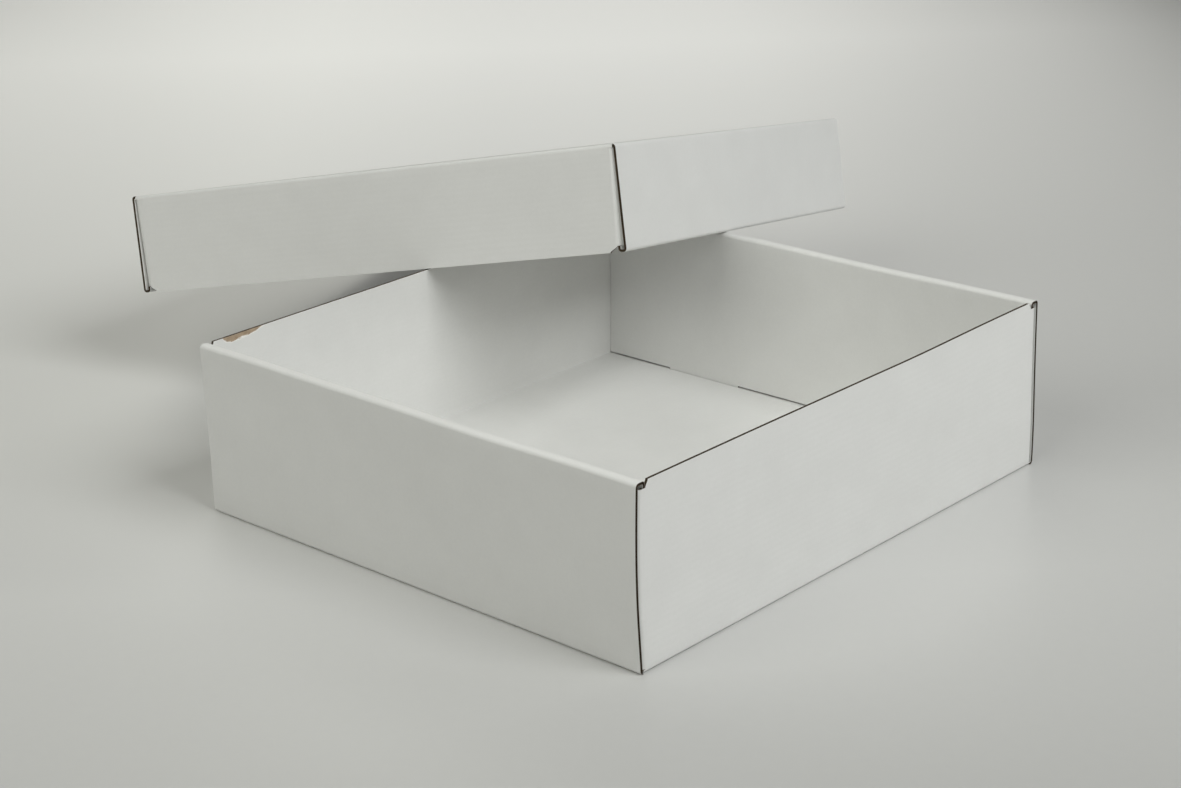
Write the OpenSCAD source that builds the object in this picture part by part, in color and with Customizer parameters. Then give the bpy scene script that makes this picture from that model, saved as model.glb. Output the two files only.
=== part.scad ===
// Two-piece box of folded corrugated board: an open tray and its lid, which leans on the tray.
// Frame: origin at the centre of the tray's underside, Z up, X across the two rolled walls.
// Each piece is one die-cut sheet, folded and locked without glue.

/* [Board] */
// Thickness of the corrugated board
board_t = 1.5; // [1.2:0.1:2]
// Inside radius of a crease
crease_r = 0.5; // [0.3:0.05:0.6]
// Play between two layers of board that lie on each other
slip = 0.15; // [0.1:0.05:0.3]

/* [Tray] */
// Length over the two rolled walls
tray_l = 320; // [260:1:380]
// Width over the two single walls
tray_w = 300; // [240:1:360]
// Height
tray_h = 93; // [70:1:120]
// Free room for the layers under the tray's rolled rim
tray_rim_room = 1.4; // [0.4:0.1:3]
// How far the foot of the inner panel stands in from its top
tray_foot_in = 3; // [0:0.1:5]
// Length of the end tabs, tucked between the layers of the rolled walls
tray_tab_l = 95; // [40:1:100]

/* [Lid] */
// Depth
lid_h = 58; // [40:0.5:80]
// Play of the lid on the tray, across the rolled walls
lid_play_l = 0.5; // [0.2:0.1:3]
// Play of the lid on the tray, across the single walls
lid_play_w = 0.4; // [0.2:0.1:3]
// Free room for the layers under the lid's rolled rim
lid_rim_room = 0.2; // [0.2:0.1:3]
// How much rounder the lid's corner folds are at the open edge
lid_flare = 2.8; // [0.2:0.1:4]
// Length of the end tabs, tucked between the layers of the rolled walls
lid_tab_l = 80; // [40:1:100]

/* [Corner folds and notches] */
// Outside radius of the upright fold between a single wall and its end tab
corner_r = 2.5; // [2.2:0.1:4]
// Depth of the notch that lets the rolled rim pass over a single wall's end
notch_d = 3.6; // [3:0.1:6]
// Flat of the tray's notch beyond the rim
tray_notch_flat = 0.3; // [0.2:0.1:4]
// Slope of the tray's notch
tray_notch_slope = 1.6; // [0.5:0.1:6]
// Flat of the lid's notch beyond the rim
lid_notch_flat = 0.5; // [0.2:0.1:4]
// Slope of the lid's notch
lid_notch_slope = 4.5; // [0.5:0.1:8]

/* [Locks] */
// Length of each locking tab at the foot of an inner panel
lock_l = 53; // [20:1:60]
// Distance of a locking tab's centre from the middle of its wall
lock_y = 73.5; // [40:0.5:80]
// How far the inner panel's foot stops short of the base, beside the locking tabs
foot_gap = 0.8; // [0.3:0.1:2]
// Play of a locking tab in its slot
slot_play = 0.3; // [0.2:0.05:0.6]
// How far a locking tab stops short of the base's outer face
lock_short = 0.2; // [0.1:0.05:0.5]

/* [Torn paper] */
// Distance of the torn patch from the end of the back wall
tear_x = 14; // [10:1:60]
// Length of the torn patch
tear_l = 28; // [10:1:60]
// Height of the torn patch below the wall's cut edge
tear_h = 5; // [2:0.5:20]
// Depth of the torn patch: one layer of paper
tear_d = 0.25; // [0.1:0.05:0.4]

/* [Lean of the lid] */
// Distance from the tray's back corner to where the lid crosses the single wall
lean_x = 158; // [135:1:170]
// Distance from the tray's back corner to where the lid crosses the rolled wall
lean_y = 89; // [75:1:100]
// Turn of the lid on those two points
lean_turn = 45.5; // [41:0.5:50]
// Gap left where the lid rests on the tray's edges
rest_gap = 0.2; // [0.1:0.05:0.3]

/* [Hidden] */
$fn = 64;
white_board = [0.86, 0.86, 0.84];
arc_steps = 10;

// A fold's outside radius, and the layers in a rolled wall
fold_r = board_t + crease_r;
layers_t = 3 * board_t + 2 * slip;
tray_rim = layers_t + tray_rim_room;
lid_rim = layers_t + lid_rim_room;

// The lid's outside size
lid_l = tray_l + 2 * lid_rim + lid_play_l;
lid_w = tray_w + 2 * board_t + lid_play_w;

// How the lid leans: its open edge crosses the tray's back wall and right-hand rim, and its far
// corner reaches down to the level that the tray stands on
rest_run = [lean_x - fold_r, -lean_y];
rest_d = norm(rest_run);
rest_x = lid_l / 2 - (lid_rim - fold_r) - rest_d * cos(lean_turn);
rest_y = lid_w / 2 - board_t;
corner_reach = (rest_x + lid_l / 2) * sin(lean_turn) + (lid_w / 2 + rest_y) * cos(lean_turn);
rest_z = tray_h + rest_gap;
lean_tilt = asin(rest_z / corner_reach);

// Part of a crease, seen from its end, between two directions from its centre
module crease(from, to) {
    reach = 2 * fold_r;
    middle = (from + to) / 2;
    intersection() {
        difference() {
            circle(fold_r);
            circle(crease_r);
        }
        polygon([
            [0, 0],
            reach * [cos(from), sin(from)],
            reach * [cos(middle), sin(middle)],
            reach * [cos(to), sin(to)]
        ]);
    }
}

// Outer panel of a rolled wall with its crease at the base and its rim, seen from the end
module rolled_outer(h, rim) {
    translate([fold_r, fold_r]) crease(180, 270);
    translate([0, fold_r]) square([board_t, h - 2 * fold_r]);
    translate([fold_r, h - fold_r]) crease(90, 180);
    translate([fold_r, h - board_t]) square([rim - 2 * fold_r, board_t]);
}

// Inner panel of a rolled wall, seen from the end, down to a level above the base's outer face
module rolled_inner(h, rim, lean, level) {
    drop = (h - fold_r - level + crease_r * sin(lean)) / cos(lean);
    translate([rim - fold_r, h - fold_r]) {
        crease(lean, 90);
        rotate(lean) translate([crease_r, -drop]) square([board_t, drop]);
    }
}

// Rolled wall at the left end: outer panel, rim and inner panel, with its locking tabs
module rolled_wall(l, w, h, rim, foot_in) {
    lean = atan(foot_in / (h - fold_r - board_t));
    inner_w = w - 2 * (board_t + slip);
    translate([-l / 2, inner_w / 2, 0]) rotate([90, 0, 0]) linear_extrude(inner_w) {
        rolled_outer(h, rim);
        rolled_inner(h, rim, lean, board_t + foot_gap);
    }
    // The ends of the roll pass over the single walls, through their notches
    for (y = [-inner_w / 2, w / 2])
        translate([-l / 2, y, 0]) rotate([90, 0, 0]) linear_extrude((w - inner_w) / 2) {
            rolled_outer(h, rim);
            intersection() {
                rolled_inner(h, rim, lean, h / 2);
                translate([0, h - notch_d + slip]) square([2 * rim, notch_d]);
            }
        }
    for (y = [-lock_y, lock_y])
        translate([-l / 2, y + lock_l / 2, 0]) rotate([90, 0, 0]) linear_extrude(lock_l)
            rolled_inner(h, rim, lean, lock_short);
}

// Base panel between its creases, with a slot for each locking tab
module base_panel(l, w, rim, foot_in) {
    slot_in = rim + foot_in - board_t - slot_play;
    difference() {
        translate([fold_r - l / 2, fold_r - w / 2, 0]) cube([l - 2 * fold_r, w - 2 * fold_r, board_t]);
        for (side = [0, 1], y = [-lock_y, lock_y])
            mirror([side, 0, 0])
                translate([slot_in - l / 2, y - lock_l / 2 - slot_play, -board_t])
                    cube([board_t + 2 * slot_play, lock_l + 2 * slot_play, 3 * board_t]);
    }
}

// Outside face of the end tabs, from the middle
function tab_x(l) = l / 2 - board_t - slip;

// Points of an arc in plan
function arc(centre, r, from, to) =
    [for (i = [0 : arc_steps]) let (a = from + (to - from) * i / arc_steps) centre + r * [cos(a), sin(a)]];

// Plan of a front single wall with its corner folds and end tabs, where those folds have radius r
function side_plan(l, w, r, tab_l) =
    let (x = tab_x(l), y = -w / 2, left = [r - x, y + r], right = [x - r, y + r], inner = r - board_t)
    concat(
        [[-x, y + tab_l]],
        arc(left, r, 180, 270),
        arc(right, r, 270, 360),
        [[x, y + tab_l], [x - board_t, y + tab_l]],
        arc(right, inner, 360, 270),
        arc(left, inner, 270, 180),
        [[board_t - x, y + tab_l]]
    );

// Plan of a front single wall's middle part, from half its length
function middle_plan(w, half) =
    let (y = -w / 2)
    [[-half, y], [half, y], [half, y + board_t], [-half, y + board_t]];

// Upright strip of board between two plans of it, one above the other, each with as many points
// along its inside as along its outside
module loft(plan_low, plan_top, low, top) {
    count = len(plan_low);
    polyhedron(
        points = concat([for (p = plan_low) [p[0], p[1], low]], [for (p = plan_top) [p[0], p[1], top]]),
        faces = concat(
            [for (i = [0 : count / 2 - 2]) [i, i + 1, count - 2 - i, count - 1 - i]],
            [for (i = [0 : count / 2 - 2]) [for (j = [count - 1 - i, count - 2 - i, i + 1, i]) count + j]],
            [for (i = [0 : count - 1]) [i, count + i, count + (i + 1) % count, (i + 1) % count]]
        )
    );
}

// Front side of a box: the crease at the base, then the single wall with its corner folds and
// end tabs up to the notches, and the wall's middle part between the notches
module front_side(l, w, h, rim, flare, notch_flat, notch_slope, tab_l) {
    notch_z = h - notch_d;
    top_half = l / 2 - rim - notch_flat;
    crease_l = l - 2 * (fold_r + slip);
    translate([-crease_l / 2, fold_r - w / 2, fold_r]) rotate([90, 0, 90]) linear_extrude(crease_l)
        crease(180, 270);
    loft(side_plan(l, w, corner_r, tab_l), side_plan(l, w, corner_r + flare, tab_l), fold_r, notch_z);
    loft(middle_plan(w, top_half), middle_plan(w, top_half - notch_slope), notch_z, h);
}

// One folded sheet, standing on its base with its open side up
module folded_box(l, w, h, rim, foot_in, flare, notch_flat, notch_slope, tab_l) {
    base_panel(l, w, rim, foot_in);
    for (side = [0, 1]) {
        mirror([side, 0, 0]) rolled_wall(l, w, h, rim, foot_in);
        mirror([0, side, 0]) front_side(l, w, h, rim, flare, notch_flat, notch_slope, tab_l);
    }
}

// Patch at the back wall's cut edge where the white paper is torn off its inner face
module torn_patch() {
    translate([tear_x - tray_l / 2, tray_w / 2 - board_t + tear_d, tray_h])
        rotate([90, 0, 0]) linear_extrude(board_t)
            polygon([
                [0, board_t],
                [0, -tear_h / 4],
                [tear_l / 4, -tear_h],
                [tear_l * 3 / 5, -tear_h * 2 / 3],
                [tear_l, -tear_h / 5],
                [tear_l, board_t]
            ]);
}

module tray() {
    color(white_board) difference() {
        folded_box(tray_l, tray_w, tray_h, tray_rim, tray_foot_in, 0,
            tray_notch_flat, tray_notch_slope, tray_tab_l);
        torn_patch();
    }
}

module lid() {
    color(white_board)
        translate([tray_l / 2 - lean_x, tray_w / 2, rest_z])
            rotate([0, 0, atan2(rest_run[1], rest_run[0])])
                rotate([-lean_tilt, 0, 0])
                    rotate([0, 0, -lean_turn])
                        translate([-rest_x, rest_y, lid_h])
                            rotate([180, 0, 0])
                                folded_box(lid_l, lid_w, lid_h, lid_rim, 0, lid_flare,
                                    lid_notch_flat, lid_notch_slope, lid_tab_l);
}

tray();
lid();
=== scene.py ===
import math

import bpy
import numpy as np
from mathutils import Matrix, Vector, noise


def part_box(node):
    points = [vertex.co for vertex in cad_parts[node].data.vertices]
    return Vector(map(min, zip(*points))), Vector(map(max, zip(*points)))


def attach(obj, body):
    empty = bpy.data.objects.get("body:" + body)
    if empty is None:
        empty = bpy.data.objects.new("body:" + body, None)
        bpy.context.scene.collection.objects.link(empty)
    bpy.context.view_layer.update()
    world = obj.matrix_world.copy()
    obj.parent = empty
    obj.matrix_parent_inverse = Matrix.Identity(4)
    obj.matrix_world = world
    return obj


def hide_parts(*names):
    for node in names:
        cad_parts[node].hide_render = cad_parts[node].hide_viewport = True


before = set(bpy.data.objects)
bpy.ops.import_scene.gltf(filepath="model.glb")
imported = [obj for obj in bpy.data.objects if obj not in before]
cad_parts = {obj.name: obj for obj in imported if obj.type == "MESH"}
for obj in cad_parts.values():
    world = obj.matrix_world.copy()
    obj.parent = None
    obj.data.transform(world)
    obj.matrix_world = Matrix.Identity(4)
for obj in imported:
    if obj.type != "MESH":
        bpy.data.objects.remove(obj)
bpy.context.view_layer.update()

# The board, its texture and the two boxes are in millimetres; studio, lamps and camera in metres
MM = 0.001

# Differences smaller than this, and turns smaller than this in radians, count as none
TINY = 1e-6
TINY_TURN = 1e-4

# Board: thickness, inside radius of a crease, play between layers that lie on each other
BOARD = 1.5
CREASE = 0.5
SLIP = 0.15
FOLD = BOARD + CREASE
MID_R = CREASE + BOARD / 2
LAYERS = 3 * BOARD + 2 * SLIP

# Cut edges: thickness of a paper lip at its edge and at its foot, depth of the core behind the lips,
# how much that depth varies, as a share, and its waves in a millimetre
PAPER = 0.28
LIP_FOOT = 1.3 * PAPER
CORE_IN = 0.45
CORE_UNEVEN = 0.5
CORE_WAVES = 0.35

# Locking tabs and the slots in the base
LOCK_L = 53
LOCK_Y = 73.5
LOCK_SHORT = 0.2
FOOT_GAP = 0.8
SLOT_PLAY = 0.3
SLOT_W = BOARD + 2 * SLOT_PLAY

# Corner folds, and the notches at the ends of a single wall's open edge
CORNER_R = 2.5
NOTCH_D = 3.6
NOTCH_BLEND = 2

# Play that widens the rolled rims, and play of the lid over the tray
TRAY_RIM_PLAY = 1.4
LID_RIM_PLAY = 0.2
LID_PLAY_X = 0.5
LID_PLAY_Y = 0.4

# Spacing of the mesh on flat panels, along corner folds and around creases, and where shading breaks
CELL = 4.0
FINE_CELL = 0.6
BEND_STEPS = 6
SHARP_ANGLE = math.radians(35)

# Each box has a length, width and height, the width of its rolled rims, the lean of their inner
# panels, the growth of its corner folds towards the open edge, its notches and its end tabs
tray_low, tray_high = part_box("tray")
tray_size = (tray_high - tray_low) / MM
TRAY = dict(l=tray_size.x, w=tray_size.y, h=tray_size.z, rim=LAYERS + TRAY_RIM_PLAY, foot_in=3.0,
            flare=0.0, notch_flat=0.3, notch_slope=1.6, tab_l=95.0)
LID_RIM = LAYERS + LID_RIM_PLAY
LID = dict(l=TRAY["l"] + 2 * LID_RIM + LID_PLAY_X, w=TRAY["w"] + 2 * BOARD + LID_PLAY_Y, h=58.0,
           rim=LID_RIM, foot_in=0.0, flare=2.8, notch_flat=0.5, notch_slope=4.5, tab_l=80.0)

# Lean of the lid on the tray's back corner
LEAN_X = 158.0
LEAN_Y = 89.0
LEAN_TURN = math.radians(45.5)
REST_GAP = 0.2

# Soft bends of the tray: bow of its front corner, sway of its walls, how far the bow and the still
# places at the lid's contacts reach, the height over which the sway grows, its waves in a millimetre
# along and up the walls, and which part of the noise each direction takes
CORNER_BOW = 1.5
SWAY = 1.4
BEND_REACH = 45
SWAY_RISE = 25
WAVES_ALONG = 0.011
WAVES_UP = 0.012
SWAY_X = 3.1
SWAY_Y = 7.7

# Torn patch at the back wall's cut edge: start from the left end, length and height, its outline as
# shares of both, and the least share that the ragged noise leaves of the height
TEAR_X = 14
TEAR_L = 28
TEAR_H = 5
TEAR_OUTLINE = [(0.0, 0.0), (0.03, 0.35), (0.2, 0.85), (0.6, 0.55), (0.85, 0.35), (1.0, 0.0)]
TEAR_LEAST = 0.45

# Edge of the torn patch: white fibres outside and inside it, fade to kraft, and the ledge of the paper
FUZZ_OUT = 0.4
FUZZ_IN = 0.8
KRAFT_FADE = 0.3
LEDGE_OUT = 0.2
LEDGE_IN = 0.4

# Spacing of the flutes
FLUTE = 3.4

# Colours of the paper, and of the board's cut edge with painted shade in it
PAPER_LIGHT = (0.805, 0.805, 0.79, 1)
PAPER_DARK = (0.765, 0.765, 0.75, 1)
KRAFT_LIGHT = (0.50, 0.39, 0.28, 1)
KRAFT_DARK = (0.34, 0.25, 0.17, 1)
TORN_RIM = (0.90, 0.89, 0.86, 1)
# Cut edge colours with painted shade: the kraft is darkened for its groove, and the core is nearly black
# for the flutes' hollows
KRAFT_EDGE_IN_SHADE = (0.15, 0.115, 0.08, 1)
KRAFT_EDGE_DARK_IN_SHADE = (0.085, 0.064, 0.044, 1)
CORE_KRAFT_IN_SHADE = (0.075, 0.055, 0.036, 1)
CORE_HOLLOW_SHADE = (0.03, 0.022, 0.014, 1)

# Grain, as noise waves in a metre, and how much the flat sheet is stretched along, across and through
# the board before some of it is laid on
CLOUDS = 38.0
SPECKS = 520.0
FIBRES = 1500.0
KRAFT_GRAIN = 420.0
CUT_GRAIN = 480.0
TEAR_GRAIN = 260.0
FLOOR_GRAIN = 160.0
FIBRE_STRETCH = (0.35, 1.0, 1.0)
KRAFT_STRETCH = (0.5, 1.0, 0.0)
CUT_STRETCH = (1.0, 1.0, 0.3)
TEAR_STRETCH = (1.0, 1.6, 0.0)

# Ranges between which most of a noise's values lie: wide for soft contrast, narrow for strong
SOFT = (0.3, 0.7)
STRONG = (0.35, 0.65)

# Shares of clouds and specks in the paper's shade, and how much shade makes the palest paper
CLOUD_SHARE = 0.5
SPECK_SHARE = 0.35
SHADE_SPAN = 0.8

# Relief of the paper: its depth, the shares of flutes, fibres and torn ledge in it, and how much of
# the flutes is left where they are faintest
PAPER_RELIEF = 0.035
FLUTE_SHARE = 0.7
FIBRE_SHARE = 0.45
LEDGE_SHARE = 6.0
FLUTE_FAINT = 0.35

# Cut edge: depth of its relief, and the range over which the core's painted shade goes from dark to light
CUT_RELIEF = 0.2
CORE_RANGE = (0.05, 0.6)

# Depths through the board, as shares: where its inner side begins, where kraft changes to core behind
# a lip, and how deep the white skin goes
INNER_SIDE = (0.4, 0.6)
KRAFT_TO_CORE = (0.19, 0.23)
SKIN = (0.0, 0.04)

# Roughness and shine
PAPER_ROUGH = (0.5, 0.62)
PAPER_SHINE = 0.28
CUT_ROUGH = 0.85
CUT_SHINE = 0.12
FLOOR_ROUGH = 0.36
FLOOR_SHINE = 0.45

# Studio floor, along the camera's line of sight and across it: ends, half width, radius and height of
# the backdrop, steps of its bend, and a hair's gap under the box
FLOOR_NEAR = -2.5
FLOOR_FAR = 3.4
FLOOR_WIDE = 3.4
BACK_TURN = 0.8
BACK_TALL = 2.5
BACK_STEPS = 12
FLOOR_GAP = 0.0001

# The floor is darker in front and on the right by painted shade, and palest at the back on the left by
# painted light that lifts the box's shadow there
FLOOR_PAINTED_SHADE = (0.50, 0.50, 0.49, 1)
FLOOR_MIDDLE = (0.65, 0.65, 0.64, 1)
FLOOR_PAINTED_LIGHT = (0.74, 0.74, 0.72, 1)
FRONT_FADE = (-0.34, -0.12)
RIGHT_FADE = (-0.56, -0.14)
BACK_FADE = (-0.08, 0.12)
LEFT_FADE = (0.1, 0.28)
GRAIN_SHARE = 0.02

# Glow of the backdrop: middle and half width across, where it grows, steepness at its sides,
# brightness and tint
GLOW_MIDDLE = 0.12
GLOW_HALF = 0.76
GLOW_FADE = (0.12, 1.1)
GLOW_STEEP = 4.0
GLOW = 0.355
GLOW_TINT = (1.0, 1.0, 0.955, 1)

# Lamps: name, azimuth and elevation in degrees, width and height, power in watts and tint. All aim at
# the same place, from the same distance and a little above the line.
COOL = (0.985, 1.0, 0.985)
MILD = (0.99, 1.0, 0.935)
WARM = (1.0, 1.0, 0.92)
LAMPS = [
    ("key_softbox", 270, 42, (1.1, 1.1), 23.7, COOL),
    ("low_softbox", 315, 15, (1.0, 0.6), 5.3, COOL),
    ("left_softbox", 180, 36, (1.5, 1.2), 14.8, MILD),
    ("back_softbox", 60, 42, (1.1, 1.1), 4.8, WARM),
    ("top_softbox", 135, 68, (1.1, 1.1), 3.4, WARM),
]
LAMP_AIM = Vector((0.05, 0.1, 0.05))
LAMP_REACH = 2.0
LAMP_RAISE = Vector((0, 0, 0.1))
WORLD_TINT = (1.0, 1.0, 0.97, 1)
WORLD_LIGHT = 0.04

# Camera: place and aim, roll about the line of sight, focal length and frame width in millimetres
CAMERA_AT = Vector((-0.8757, -0.7956, 0.4971))
CAMERA_AIM = Vector((0.0016, 0.0266, 0.0465))
CAMERA_ROLL = math.radians(-1.90)
CAMERA_LENS = 73.1
CAMERA_FRAME = 36
CAMERA_FAR = 20


def lines(low, high, step, fixed):
    """Grid lines from low to high at most step apart, with one on each fixed value between them."""
    stops = sorted({round(v, 4) for v in [low, high, *fixed] if low <= v <= high})
    out = [stops[0]]
    for a, b in zip(stops, stops[1:]):
        n = max(1, math.ceil((b - a) / step))
        out += [a + (b - a) * i / n for i in range(1, n + 1)]
    return out


def both(values):
    """Each value and its mirror image."""
    return [s * v for v in values for s in (-1, 1)]


def bend(cx, cz, start, stop):
    """Middle of a crease, seen from its end: points and outward directions between two angles."""
    out = []
    for i in range(BEND_STEPS + 1):
        a = math.radians(start + (stop - start) * i / BEND_STEPS)
        out.append((cx + MID_R * math.cos(a), cz + MID_R * math.sin(a), math.cos(a), math.sin(a)))
    return out


class Sheet:
    """Middle of a folded board: points, the outward direction and place on the flat sheet at each."""

    def __init__(self):
        self.found = {}
        self.points = []
        self.normals = []
        self.flat = []
        self.faces = []

    def point(self, p, n, flat):
        """Number of a point. Panels that meet in one share it."""
        key = tuple(round(c, 2) for c in p)
        if key not in self.found:
            self.found[key] = len(self.points)
            self.points.append(p)
            self.normals.append(n)
            self.flat.append(flat)
        return self.found[key]

    def patch(self, rows, cols, at, keep):
        """Faces between grid lines, where at gives point, normal and flat place, and keep picks cells."""
        for r0, r1 in zip(rows, rows[1:]):
            for c0, c1 in zip(cols, cols[1:]):
                if keep((r0 + r1) / 2, (c0 + c1) / 2):
                    corners = [at(r, c) for r, c in ((r0, c0), (r0, c1), (r1, c1), (r1, c0))]
                    ids = [self.point(*c) for c in corners]
                    p = [Vector(c[0]) for c in corners]
                    normal = sum((Vector(c[1]) for c in corners), Vector())
                    if (p[2] - p[0]).cross(p[3] - p[1]).dot(normal) < 0:
                        ids.reverse()
                    self.faces.append(ids)


def along(path, s):
    """Point and outward direction at a distance along a path of (distance, x, z, nx, nz) entries."""
    for a, b in zip(path, path[1:]):
        if s <= b[0] + TINY:
            t = 0 if b[0] == a[0] else (s - a[0]) / (b[0] - a[0])
            return [a[k] + (b[k] - a[k]) * t for k in range(1, 5)]
    return path[-1][1:]


def measured(points):
    """Path entries with their distance along the middle of the board."""
    out = [(0.0, *points[0])]
    for p, q in zip(points, points[1:]):
        turned = math.acos(min(1.0, p[2] * q[2] + p[3] * q[3]))
        chord = math.hypot(q[0] - p[0], q[1] - p[1])
        out.append((out[-1][0] + (MID_R * turned if turned > TINY_TURN else chord), *q))
    return out


def slot_side(box):
    """How far from the middle the slots in the base reach."""
    return box["l"] / 2 - (box["rim"] + box["foot_in"] - BOARD - SLOT_PLAY)


def tab_side(box):
    """How far from the middle the end tabs lie, against the outer panel of a rolled wall."""
    return box["l"] / 2 - BOARD - SLIP


def inner_half(box):
    """Half the length of a rolled wall's inner panel, which ends at the single walls."""
    return box["w"] / 2 - BOARD - SLIP


def top_half(box):
    """Half the length of a single wall's open edge, which ends at its notches."""
    return box["l"] / 2 - box["rim"] - box["notch_flat"]


def flat_top(box):
    """Place of a single wall's open edge on the flat sheet."""
    return box["w"] / 2 - FOLD + MID_R * math.pi / 2 + box["h"] - FOLD


def base_panel(sheet, box, xs, ys):
    """Flat base with four slots for the locking tabs."""
    slot_x = slot_side(box)

    def keep(x, y):
        in_x = slot_x - SLOT_W < abs(x) < slot_x
        in_y = abs(abs(y) - LOCK_Y) < LOCK_L / 2 + SLOT_PLAY
        return not (in_x and in_y)

    sheet.patch(xs, ys, lambda x, y: ((x, y, BOARD / 2), (0, 0, -1), (x, y)), keep)


def rolled_wall(sheet, box, side, ys):
    """Outer panel, rim and inner panel with its locking tabs, rolled over the end tabs."""
    h, rim = box["h"], box["rim"]
    lean = math.atan2(box["foot_in"], h - FOLD - BOARD)
    down = (math.sin(lean), -math.cos(lean))

    def drop(level):
        return (h - FOLD - level + CREASE * math.sin(lean)) / math.cos(lean)

    points = bend(FOLD, FOLD, 270, 180) + bend(FOLD, h - FOLD, 180, 90)
    points += bend(rim - FOLD, h - FOLD, 90, math.degrees(lean))
    x0, z0, nx, nz = points[-1]
    lengths = [drop(h - NOTCH_D + SLIP), drop(BOARD + FOOT_GAP), drop(LOCK_SHORT)]
    points += [(x0 + down[0] * d, z0 + down[1] * d, nx, nz) for d in lengths]
    path = measured(points)
    stops = [e[0] for e in path]
    over_wall, foot, tip = stops[-3:]
    start = box["l"] / 2 - FOLD

    def at(s, y):
        x, z, nx, nz = along(path, s)
        return (side * (box["l"] / 2 - x), y, z), (-side * nx, 0, nz), (side * (start + s), y)

    def keep(s, y):
        if s > foot:
            return abs(abs(y) - LOCK_Y) < LOCK_L / 2
        return s < over_wall or abs(y) < inner_half(box)

    sheet.patch(lines(0, tip, CELL, stops), ys, at, keep)


def single_wall(sheet, box, side, xs):
    """Crease, wall, corner folds and end tabs, with a notch at each end of the wall's open edge."""
    l, w, h = box["l"], box["w"], box["h"]
    notch_z = h - NOTCH_D
    tab_x = tab_side(box)
    edge_half = top_half(box)
    crease_half = l / 2 - FOLD - SLIP
    path = measured(bend(FOLD, FOLD, 270, 180))
    rise = path[-1][0]
    start = w / 2 - FOLD

    def crease_at(s, x):
        y, z, ny, nz = along(path, s)
        return (x, side * (w / 2 - y), z), (0, -side * ny, nz), (x, side * (start + s))

    sheet.patch([e[0] for e in path], xs, crease_at, lambda s, x: abs(x) < crease_half)

    def notched(z, a):
        """Place along the wall, pulled in beside a notch."""
        up = (z - notch_z) / NOTCH_D
        edge = edge_half - box["notch_slope"] * up * up * (3 - 2 * up)
        near = edge_half - 2 * box["notch_slope"] - NOTCH_BLEND
        return a if a <= near else near + (a - near) * (edge - near) / (edge_half - near)

    def wall_at(z, q):
        a = notched(z, abs(q)) if z > notch_z else abs(q)
        r = CORNER_R + box["flare"] * min(1.0, (z - FOLD) / (notch_z - FOLD))
        mid = r - BOARD / 2
        turn = (a - (tab_x - r)) / mid
        if turn <= 0:
            x, y, nx, ny = a, BOARD / 2, 0.0, -1.0
        elif turn < math.pi / 2:
            x, y = tab_x - r + mid * math.sin(turn), r - mid * math.cos(turn)
            nx, ny = math.sin(turn), -math.cos(turn)
        else:
            x, y, nx, ny = tab_x - BOARD / 2, r + mid * (turn - math.pi / 2), 1.0, 0.0
        s = math.copysign(1, q)
        place = (s * x, side * (w / 2 - y), z)
        return place, (s * nx, -side * ny, 0), (q, side * (start + rise + z - FOLD))

    fold_in = tab_x - CORNER_R - box["flare"]
    fold_out = fold_in + math.pi / 2 * (CORNER_R + box["flare"])
    end = tab_x - CORNER_R + math.pi / 2 * (CORNER_R - BOARD / 2) + box["tab_l"] - CORNER_R
    corner = lines(fold_in, fold_out, FINE_CELL, [tab_x - CORNER_R, edge_half])
    outside = [*corner, *lines(fold_out, end, CELL, [])]
    inside = [x for x in xs if abs(x) < fold_in - TINY]
    cols = sorted({round(v, 4) for v in inside + both(outside)})
    rows = lines(FOLD, notch_z, CELL, []) + lines(notch_z, h, FINE_CELL, [])[1:]
    sheet.patch(rows, cols, wall_at, lambda z, q: z < notch_z or abs(q) < edge_half)


def folded_sheet(box):
    """One die-cut sheet, folded, standing on its base with its open side up."""
    base_x = box["l"] / 2 - FOLD
    base_y = box["w"] / 2 - FOLD
    slot_x = slot_side(box)
    lock = [LOCK_Y - LOCK_L / 2, LOCK_Y + LOCK_L / 2]
    slot = [lock[0] - SLOT_PLAY, lock[1] + SLOT_PLAY]
    y_stops = [base_y, inner_half(box), *lock, *slot]
    y_lines = lines(-box["w"] / 2, box["w"] / 2, CELL, both(y_stops))
    x_stops = [base_x - SLIP, tab_side(box) - CORNER_R, top_half(box), slot_x, slot_x - SLOT_W]
    x_lines = lines(-base_x, base_x, CELL, both(x_stops))
    sheet = Sheet()
    base_panel(sheet, box, x_lines, [y for y in y_lines if abs(y) < base_y + TINY])
    for side in (-1, 1):
        rolled_wall(sheet, box, side, y_lines)
        single_wall(sheet, box, side, x_lines)
    return sheet


def cut_edges(faces):
    """Edges that only one face has, in that face's direction."""
    edges = dict.fromkeys((a, b) for f in faces for a, b in zip(f, f[1:] + f[:1]))
    return [(a, b) for a, b in edges if (b, a) not in edges]


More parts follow.
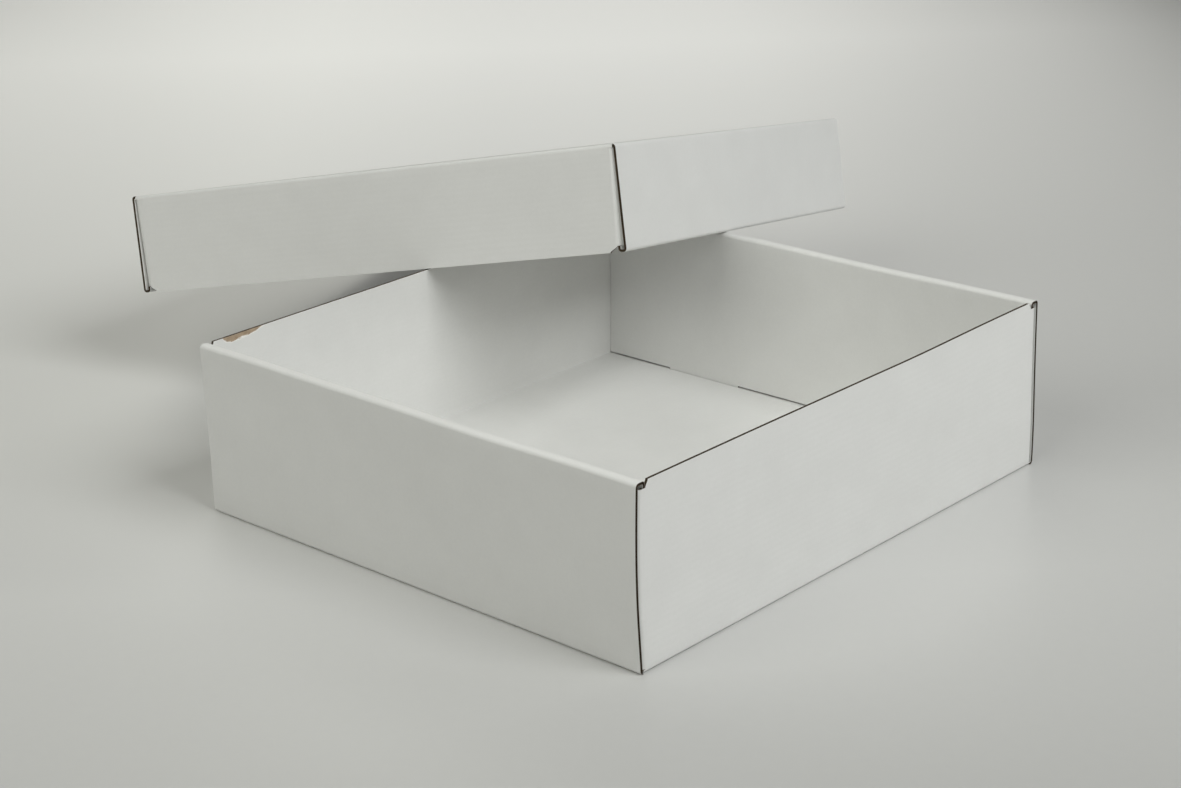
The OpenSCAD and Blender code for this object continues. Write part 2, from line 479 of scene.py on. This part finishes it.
def board_mesh(name, sheet, place, shift):
    """Board of full thickness around the middle of a sheet, with paper lips at its cut edges."""
    mid = np.array(sheet.points, float)
    out = np.array(sheet.normals, float)
    out /= np.linalg.norm(out, axis=1)[:, None]
    count = len(mid)
    half = BOARD / 2
    rim = cut_edges(sheet.faces)
    inward = {}
    for a, b in rim:
        d = np.cross(out[a] + out[b], mid[b] - mid[a])
        d /= np.linalg.norm(d)
        for v in (a, b):
            inward[v] = inward.get(v, 0) + d
    steps = [(half - PAPER, 0), (half - LIP_FOOT, 1), (LIP_FOOT - half, 1), (PAPER - half, 0)]
    verts = [*(mid + half * out), *(mid - half * out)]
    flat = [*sheet.flat, *sheet.flat]
    ring = {}
    for v, d in inward.items():
        d = d / max(np.linalg.norm(d), TINY)
        deep = CORE_IN * (1 + CORE_UNEVEN * noise.noise(Vector(mid[v]) * CORE_WAVES))
        ring[v] = [v, *range(len(verts), len(verts) + len(steps)), v + count]
        for up, inn in steps:
            verts.append(mid[v] + up * out[v] + inn * deep * d)
            flat.append(sheet.flat[v])
    faces = [list(f) for f in sheet.faces]
    faces += [[v + count for v in reversed(f)] for f in sheet.faces]
    liner = len(faces)
    for a, b in rim:
        for i in range(len(steps) + 1):
            faces.append([ring[b][i], ring[a][i], ring[a][i + 1], ring[b][i + 1]])
    verts = [place @ shift(Vector(v)) * MM for v in verts]
    mesh = bpy.data.meshes.new(name)
    mesh.from_pydata(verts, [], faces)
    mesh.polygons.foreach_set("material_index", [0 if i < liner else 1 for i in range(len(faces))])
    mesh.polygons.foreach_set("use_smooth", [True] * len(faces))
    depth = [0.0] * count + [1.0] * count + [0.5 - up / BOARD for _ in inward for up, _ in steps]
    store = mesh.attributes.new("flat", "FLOAT_VECTOR", "POINT")
    store.data.foreach_set("vector", [c for f, d in zip(flat, depth) for c in (f[0] * MM, f[1] * MM, d)])
    mesh.set_sharp_from_angle(angle=SHARP_ANGLE)
    mesh.validate()
    piece = bpy.data.objects.new(name, mesh)
    bpy.context.scene.collection.objects.link(piece)
    return piece


def lid_place():
    """Where the lid leans, from its own frame to the tray's."""
    run = Vector((LEAN_X - FOLD, -LEAN_Y))
    across = LID["l"] / 2 - (LID["rim"] - FOLD) - run.length * math.cos(LEAN_TURN)
    along_y = LID["w"] / 2 - BOARD
    rest_z = TRAY["h"] + REST_GAP
    reach = (across + LID["l"] / 2) * math.sin(LEAN_TURN) + (LID["w"] / 2 + along_y) * math.cos(LEAN_TURN)
    tilt = math.asin(rest_z / reach)
    return (Matrix.Translation((TRAY["l"] / 2 - LEAN_X, TRAY["w"] / 2, rest_z))
            @ Matrix.Rotation(math.atan2(run.y, run.x), 4, "Z")
            @ Matrix.Rotation(-tilt, 4, "X")
            @ Matrix.Rotation(-LEAN_TURN, 4, "Z")
            @ Matrix.Translation((-across, along_y, LID["h"]))
            @ Matrix.Rotation(math.pi, 4, "X"))


class Nodes:
    """Short way to add and join shader nodes."""

    def __init__(self, name):
        self.material = bpy.data.materials.new(name)
        self.material.use_nodes = True
        self.tree = self.material.node_tree
        self.shader = self.tree.nodes["Principled BSDF"]

    def put(self, socket, value):
        """Join a socket to another, or set it to a number."""
        if isinstance(value, bpy.types.NodeSocket):
            self.tree.links.new(value, socket)
        else:
            socket.default_value = value

    def flat(self):
        """Place on the flat sheet in metres, and depth through the board from 0 outside to 1 inside."""
        node = self.tree.nodes.new("ShaderNodeAttribute")
        node.attribute_name = "flat"
        return node.outputs["Vector"]

    def split(self, vector):
        node = self.tree.nodes.new("ShaderNodeSeparateXYZ")
        self.put(node.inputs[0], vector)
        return node.outputs

    def noise(self, vector, scale, detail=2.0, roughness=0.5):
        node = self.tree.nodes.new("ShaderNodeTexNoise")
        self.put(node.inputs["Vector"], vector)
        node.inputs["Scale"].default_value = scale
        node.inputs["Detail"].default_value = detail
        node.inputs["Roughness"].default_value = roughness
        return node.outputs[0]

    def stretch(self, vector, by):
        node = self.tree.nodes.new("ShaderNodeVectorMath")
        node.operation = "MULTIPLY"
        self.put(node.inputs[0], vector)
        node.inputs[1].default_value = by
        return node.outputs[0]

    def bands(self, vector, spacing):
        """Stripes across the sheet's Y, this far apart. At scale 1 the texture turns 20 radians a metre."""
        node = self.tree.nodes.new("ShaderNodeTexWave")
        node.wave_type = "BANDS"
        node.bands_direction = "Y"
        self.put(node.inputs["Vector"], vector)
        node.inputs["Scale"].default_value = math.tau / (20 * spacing)
        node.inputs["Distortion"].default_value = 1.2
        node.inputs["Detail"].default_value = 1.0
        node.inputs["Detail Scale"].default_value = 0.4
        return node.outputs["Fac"]

    def calc(self, kind, a, b=0.0, limit=False):
        """One step of arithmetic, held between 0 and 1 where limit is set."""
        node = self.tree.nodes.new("ShaderNodeMath")
        node.operation = kind
        node.use_clamp = limit
        self.put(node.inputs[0], a)
        self.put(node.inputs[1], b)
        return node.outputs[0]

    def plus(self, a, b):
        return self.calc("ADD", a, b)

    def minus(self, a, b):
        return self.calc("SUBTRACT", a, b)

    def times(self, a, b):
        return self.calc("MULTIPLY", a, b)

    def span(self, value, low, high, to_low=0.0, to_high=1.0):
        """Value between two limits, mapped to another range and held at its ends."""
        node = self.tree.nodes.new("ShaderNodeMapRange")
        self.put(node.inputs["Value"], value)
        for key, number in (("From Min", low), ("From Max", high), ("To Min", to_low), ("To Max", to_high)):
            node.inputs[key].default_value = number
        return node.outputs[0]

    def ramp(self, value, stops):
        """Curve through (place, level) stops, between 0 and 1."""
        node = self.tree.nodes.new("ShaderNodeValToRGB")
        line = node.color_ramp.elements
        line.remove(line[-1])
        line[0].position = stops[0][0]
        line[0].color = (stops[0][1],) * 3 + (1,)
        for at, level in stops[1:]:
            line.new(at).color = (level, level, level, 1)
        self.put(node.inputs[0], value)
        return node.outputs[0]

    def mix(self, factor, a, b):
        node = self.tree.nodes.new("ShaderNodeMix")
        node.data_type = "RGBA"
        self.put(node.inputs["Factor"], factor)
        for socket, value in zip([i for i in node.inputs if i.type == "RGBA"], (a, b)):
            self.put(socket, value)
        return next(o for o in node.outputs if o.type == "RGBA")

    def bump(self, height, distance):
        node = self.tree.nodes.new("ShaderNodeBump")
        node.inputs["Distance"].default_value = distance
        self.put(node.inputs["Height"], height)
        self.put(self.shader.inputs["Normal"], node.outputs[0])

    def finish(self, colour, roughness, shine):
        self.put(self.shader.inputs["Base Color"], colour)
        self.put(self.shader.inputs["Roughness"], roughness)
        self.put(self.shader.inputs["Specular IOR Level"], shine)
        return self.material


def torn_mask(n, flat):
    """How deep into the torn patch a place on the sheet lies: below 0 outside it, above 0 inside."""
    u, v, depth = n.split(flat)
    start = (TEAR_X - TRAY["l"] / 2) * MM
    reach = n.ramp(n.calc("DIVIDE", n.minus(u, start), TEAR_L * MM), TEAR_OUTLINE)
    ragged = n.noise(n.stretch(flat, TEAR_STRETCH), TEAR_GRAIN, detail=3.0)
    edge = n.times(reach, n.times(n.plus(ragged, TEAR_LEAST), TEAR_H * MM))
    inside = n.minus(edge, n.minus(flat_top(TRAY) * MM, v))
    return n.calc("MINIMUM", inside, n.span(depth, *INNER_SIDE, -TEAR_H * MM, TEAR_H * MM))


def liner_material(name, torn):
    """White paper liner: clouds, fibres and the faint washboard of the flutes under it."""
    n = Nodes(name)
    flat = n.flat()
    clouds = n.noise(flat, CLOUDS, detail=4.0, roughness=0.6)
    specks = n.noise(flat, SPECKS, detail=3.0, roughness=0.7)
    fibres = n.noise(n.stretch(flat, FIBRE_STRETCH), FIBRES, detail=2.0, roughness=0.6)
    cloud_shade = n.span(clouds, *SOFT, -CLOUD_SHARE, CLOUD_SHARE)
    speck_shade = n.span(specks, *SOFT, -SPECK_SHARE, SPECK_SHARE)
    pale = n.span(n.plus(cloud_shade, speck_shade), -SHADE_SPAN, SHADE_SPAN)
    colour = n.mix(pale, PAPER_DARK, PAPER_LIGHT)
    flutes = n.times(n.bands(flat, FLUTE * MM), n.span(clouds, *STRONG, FLUTE_FAINT, 1.0))
    height = n.plus(n.times(flutes, FLUTE_SHARE), n.times(fibres, FIBRE_SHARE))
    if torn:
        inside = torn_mask(n, flat)
        streaks = n.noise(n.stretch(flat, KRAFT_STRETCH), KRAFT_GRAIN, detail=4.0, roughness=0.7)
        kraft = n.mix(n.span(streaks, *STRONG), KRAFT_DARK, KRAFT_LIGHT)
        fuzz_out = n.span(inside, -FUZZ_OUT * MM, 0.0)
        fuzz_in = n.span(inside, 0.0, FUZZ_IN * MM, 1.0, 0.0)
        colour = n.mix(n.span(inside, 0.0, KRAFT_FADE * MM), colour, kraft)
        colour = n.mix(n.times(fuzz_out, fuzz_in), colour, TORN_RIM)
        ledge = n.span(inside, -LEDGE_OUT * MM, LEDGE_IN * MM)
        height = n.plus(height, n.times(ledge, -LEDGE_SHARE))
    n.bump(height, PAPER_RELIEF * MM)
    return n.finish(colour, n.span(clouds, *SOFT, *PAPER_ROUGH), PAPER_SHINE)


def cut_material(name):
    """Cut edge of the board: a white skin, kraft paper partly darkened by painted shade, and the ends or
    side of the flutes, painted dark as their hollows look in shade.
    """
    n = Nodes(name)
    flat = n.flat()
    depth = n.split(flat)[2]
    streaks = n.noise(n.stretch(flat, CUT_STRETCH), CUT_GRAIN, detail=3.0, roughness=0.7)
    waves = n.bands(flat, FLUTE * MM)
    # Painted shade: the core behind the lips is dark in the flutes' hollows and less dark on their kraft
    core_shade = n.mix(n.span(n.times(streaks, waves), *CORE_RANGE), CORE_HOLLOW_SHADE, CORE_KRAFT_IN_SHADE)
    # Kraft of the lips: its own brown, partly darkened by painted shade of the groove
    kraft = n.mix(n.span(streaks, *STRONG), KRAFT_EDGE_DARK_IN_SHADE, KRAFT_EDGE_IN_SHADE)
    from_skin = n.calc("MINIMUM", depth, n.minus(1.0, depth))
    colour = n.mix(n.span(from_skin, *KRAFT_TO_CORE), kraft, core_shade)
    colour = n.mix(n.span(from_skin, *SKIN), PAPER_DARK, colour)
    n.bump(streaks, CUT_RELIEF * MM)
    return n.finish(colour, CUT_ROUGH, CUT_SHINE)


def floor_material():
    """Pale satin floor, with painted shade in front and on the right and painted light at the back on the
    left, that glows towards the backdrop, without lighting the box.
    """
    n = Nodes("studio_floor")
    place = n.tree.nodes.new("ShaderNodeTexCoord").outputs["Object"]
    ahead, across = n.split(place)[:2]
    # Painted shade: the floor darkens towards the front and towards the right
    middle = n.times(n.span(ahead, *FRONT_FADE), n.span(across, *RIGHT_FADE))
    grain = n.span(n.noise(place, FLOOR_GRAIN, detail=3.0), *SOFT, -GRAIN_SHARE, GRAIN_SHARE)
    colour = n.mix(n.plus(middle, grain), FLOOR_PAINTED_SHADE, FLOOR_MIDDLE)
    # Painted light: the floor is palest at the back on the left, where it lifts the box's shadow
    left = n.times(n.span(ahead, *BACK_FADE), n.span(across, *LEFT_FADE))
    colour = n.mix(left, colour, FLOOR_PAINTED_LIGHT)
    rays = n.tree.nodes.new("ShaderNodeLightPath").outputs
    mirrored = n.calc("MAXIMUM", rays["Is Glossy Ray"], rays["Is Transmission Ray"])
    seen = n.calc("MAXIMUM", rays["Is Camera Ray"], mirrored)
    off = n.calc("ABSOLUTE", n.calc("DIVIDE", n.minus(across, GLOW_MIDDLE), GLOW_HALF))
    bulge = n.calc("SUBTRACT", 1.0, n.calc("POWER", off, GLOW_STEEP), limit=True)
    glow = n.times(bulge, n.span(ahead, *GLOW_FADE, 0.0, GLOW))
    n.put(n.shader.inputs["Emission Color"], GLOW_TINT)
    n.put(n.shader.inputs["Emission Strength"], n.times(glow, seen))
    return n.finish(colour, FLOOR_ROUGH, FLOOR_SHINE)


def bent(p):
    """Where a point of the tray lies once its walls bend. Nothing moves where the lid rests."""
    half_x, half_y = TRAY["l"] / 2, TRAY["w"] / 2

    def near(x, y):
        return math.exp(-((p.x - x) ** 2 + (p.y - y) ** 2) / BEND_REACH ** 2)

    rise = math.sin(math.pi * min(1.0, max(0.0, p.z / TRAY["h"])))
    bow = CORNER_BOW * near(-half_x, -half_y) * rise
    free = (1 - near(half_x - LEAN_X, half_y)) * (1 - near(half_x, half_y - LEAN_Y))
    sway = SWAY * free * min(1.0, p.z / SWAY_RISE)
    dx = sway * noise.noise(Vector((p.y * WAVES_ALONG, p.z * WAVES_UP, SWAY_X)))
    dy = sway * noise.noise(Vector((p.x * WAVES_ALONG, p.z * WAVES_UP, SWAY_Y)))
    return p + Vector((dx - bow, dy, 0))


def build_box(name, node, box, place, worn):
    """One dressed sheet. A worn one has bent walls and a torn patch."""
    piece = board_mesh(name, folded_sheet(box), place, bent if worn else lambda p: p)
    piece.data.materials.append(liner_material(name + "_liner", worn))
    piece.data.materials.append(cut_material(name + "_cut_edge"))
    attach(piece, "root")
    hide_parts(node)
    return piece


def build_stage():
    """Seamless pale floor that curves up into the backdrop behind the box."""
    view = CAMERA_AIM - CAMERA_AT
    heading = math.atan2(view.y, view.x)
    turn_from = FLOOR_FAR - BACK_TURN
    profile = [(FLOOR_NEAR, 0.0), (turn_from, 0.0)]
    for i in range(1, BACK_STEPS + 1):
        a = math.pi / 2 * i / BACK_STEPS
        profile.append((turn_from + BACK_TURN * math.sin(a), BACK_TURN - BACK_TURN * math.cos(a)))
    profile.append((FLOOR_FAR, BACK_TALL))
    verts = [(d, s * FLOOR_WIDE, z - FLOOR_GAP) for d, z in profile for s in (-1, 1)]
    faces = [(2 * i, 2 * i + 1, 2 * i + 3, 2 * i + 2) for i in range(len(profile) - 1)]
    mesh = bpy.data.meshes.new("studio_floor")
    mesh.from_pydata(verts, [], faces)
    mesh.polygons.foreach_set("use_smooth", [True] * len(faces))
    floor = bpy.data.objects.new("studio_floor", mesh)
    floor.rotation_euler = (0, 0, heading)
    bpy.context.scene.collection.objects.link(floor)
    mesh.materials.append(floor_material())


def softbox(name, azimuth, elevation, size, power, tint):
    """Area light that faces the middle of the box."""
    turn = math.radians(azimuth)
    rise = math.radians(elevation)
    reach = Vector((math.cos(rise) * math.cos(turn), math.cos(rise) * math.sin(turn), math.sin(rise)))
    data = bpy.data.lights.new(name, "AREA")
    data.shape = "RECTANGLE"
    data.size, data.size_y = size
    data.energy = power
    data.color = tint
    light = bpy.data.objects.new(name, data)
    light.location = LAMP_AIM + LAMP_REACH * reach + LAMP_RAISE
    light.rotation_euler = (LAMP_AIM - light.location).to_track_quat("-Z", "Y").to_euler()
    bpy.context.scene.collection.objects.link(light)


def build_lights():
    """The lamps, and a world that adds a little light from everywhere."""
    for lamp in LAMPS:
        softbox(*lamp)
    world = bpy.data.worlds.new("studio")
    bpy.context.scene.world = world
    world.use_nodes = True
    background = world.node_tree.nodes["Background"]
    background.inputs["Color"].default_value = WORLD_TINT
    background.inputs["Strength"].default_value = WORLD_LIGHT


def build_camera():
    """The photograph's camera."""
    data = bpy.data.cameras.new("camera")
    data.sensor_width = CAMERA_FRAME
    data.lens = CAMERA_LENS
    data.clip_end = CAMERA_FAR
    camera = bpy.data.objects.new("camera", data)
    sight = (CAMERA_AIM - CAMERA_AT).to_track_quat("-Z", "Y").to_matrix().to_4x4()
    roll = Matrix.Rotation(CAMERA_ROLL, 4, "Z")
    camera.matrix_world = Matrix.Translation(CAMERA_AT) @ sight @ roll
    bpy.context.scene.collection.objects.link(camera)
    bpy.context.scene.camera = camera


build_camera()
build_stage()
build_lights()
build_box("folded_tray", "tray", TRAY, Matrix.Identity(4), True)
build_box("folded_lid", "lid", LID, lid_place(), False)

bpy.context.scene.view_settings.view_transform = "Standard"
